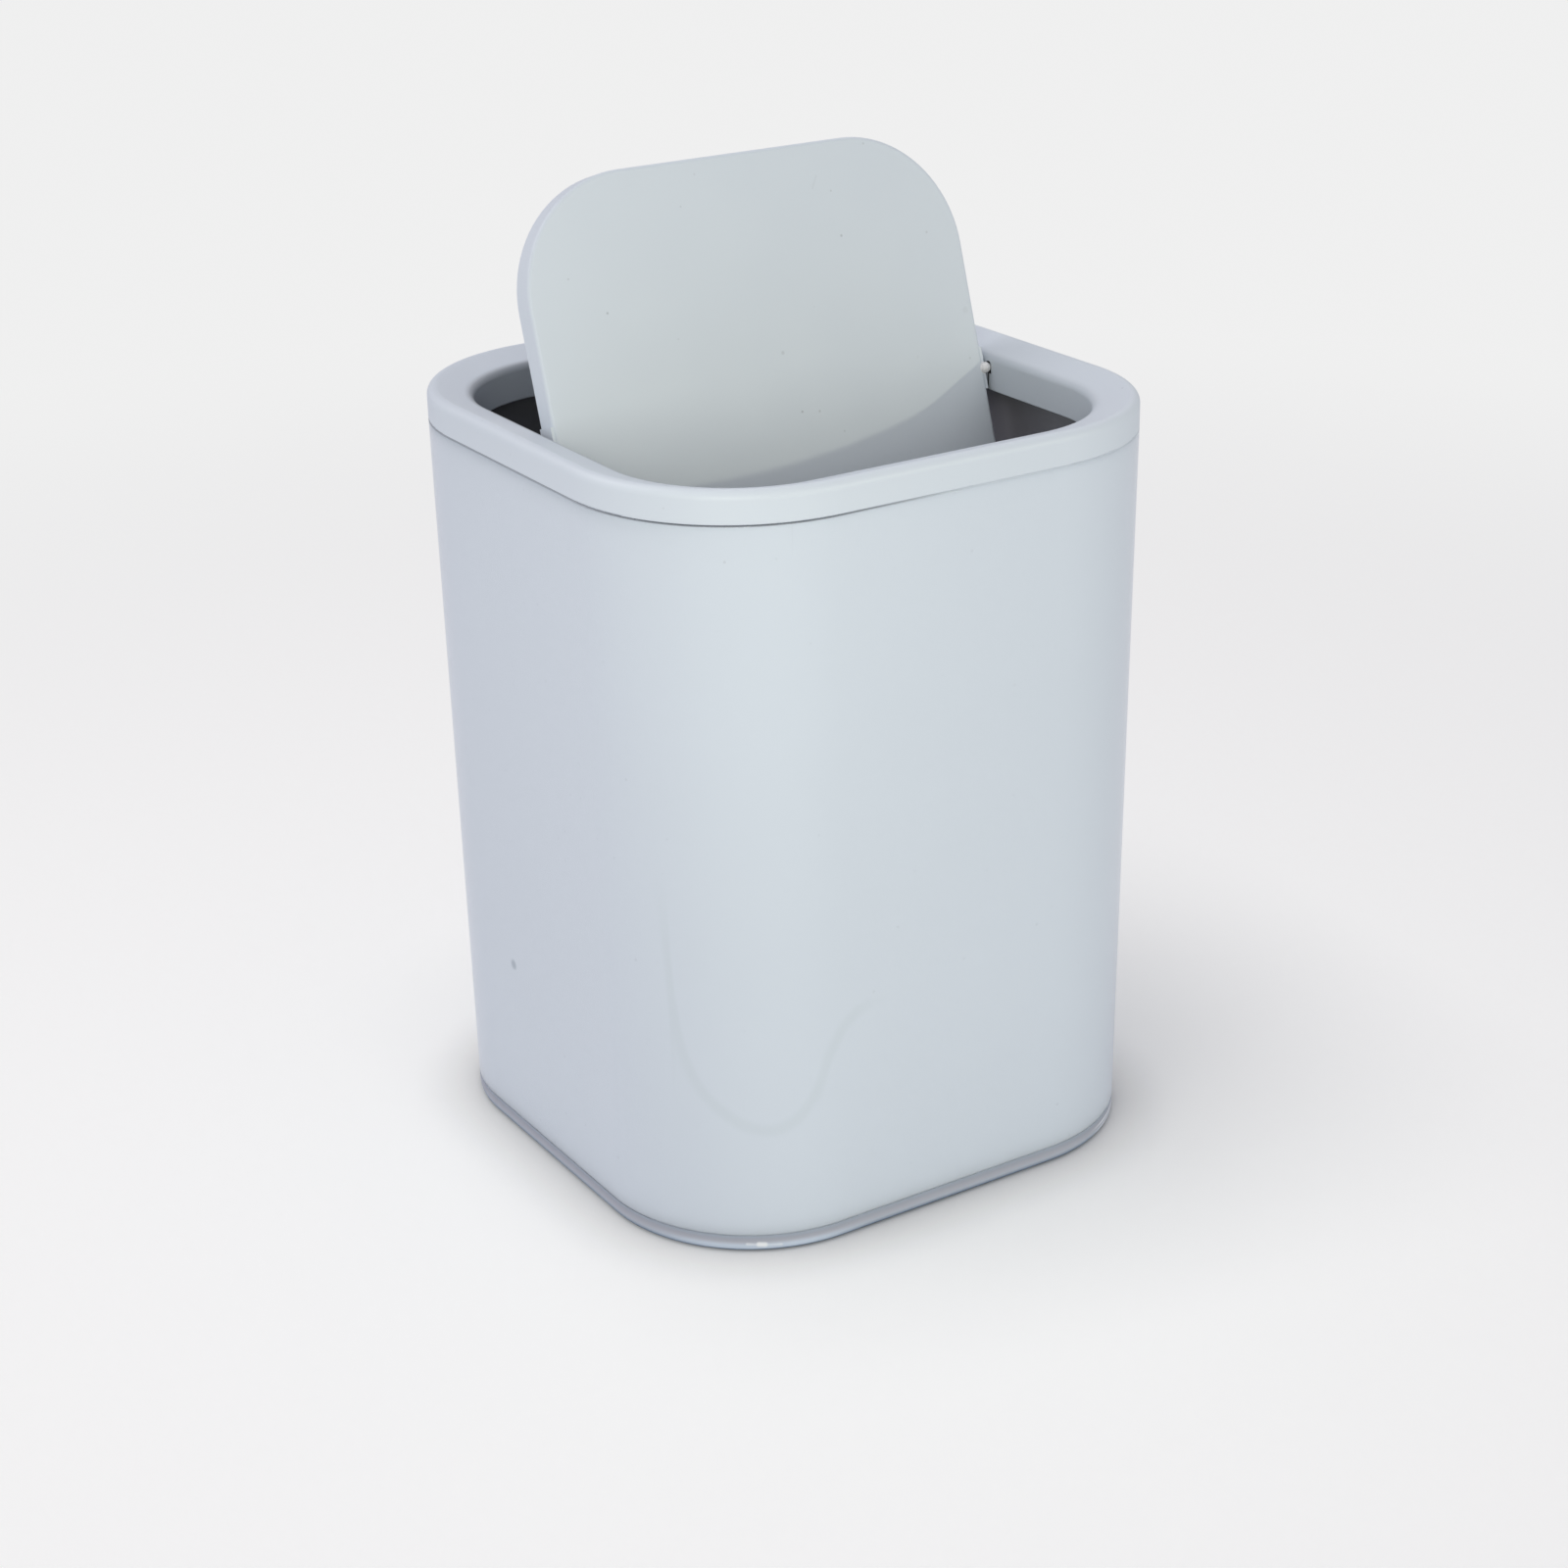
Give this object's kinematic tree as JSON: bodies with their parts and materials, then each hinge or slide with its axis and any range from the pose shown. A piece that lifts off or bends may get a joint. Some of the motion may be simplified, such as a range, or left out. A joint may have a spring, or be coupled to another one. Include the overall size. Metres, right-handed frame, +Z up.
{
  "type": "countertop swing-lid bin",
  "caption": "Square countertop bin with rounded corners: a clear case coated grey-blue inside, a dark tub, and a lift-off rim with a centre-pivoted swing flap, shown open.",
  "frame": {"origin": "centre of the foot, on the surface that the bin stands on", "axes": "+Z up; +X along the flap's swing axis; -Y is the side that the flap's outer face turns to in the stored pose"},
  "size_m": [0.127, 0.127, 0.2095],
  "materials": {
    "clear_case": "clear gloss moulded styrene, coated grey-blue inside",
    "tub_plastic": "glossy dark grey moulded plastic",
    "rim_plastic": "satin blue-grey moulded plastic",
    "flap_plastic": "satin blue-grey moulded plastic"
  },
  "bodies": {
    "bin": {"outer_case": "clear_case", "inner_tub": "tub_plastic"},
    "lid": {"lid_rim": "rim_plastic"},
    "flap": {"swing_flap": "flap_plastic"}
  },
  "joints": [
    {"name": "lid_lift", "type": "slide", "parent": "bin", "child": "lid", "axis": [0, 0, 1], "range_m": [0, 0.06]},
    {"name": "flap_swing", "type": "hinge", "parent": "lid", "child": "flap", "pos_m": [0, 0, 0.1595], "axis": [1, 0, 0], "range_deg": [-162, 18]}
  ]
}
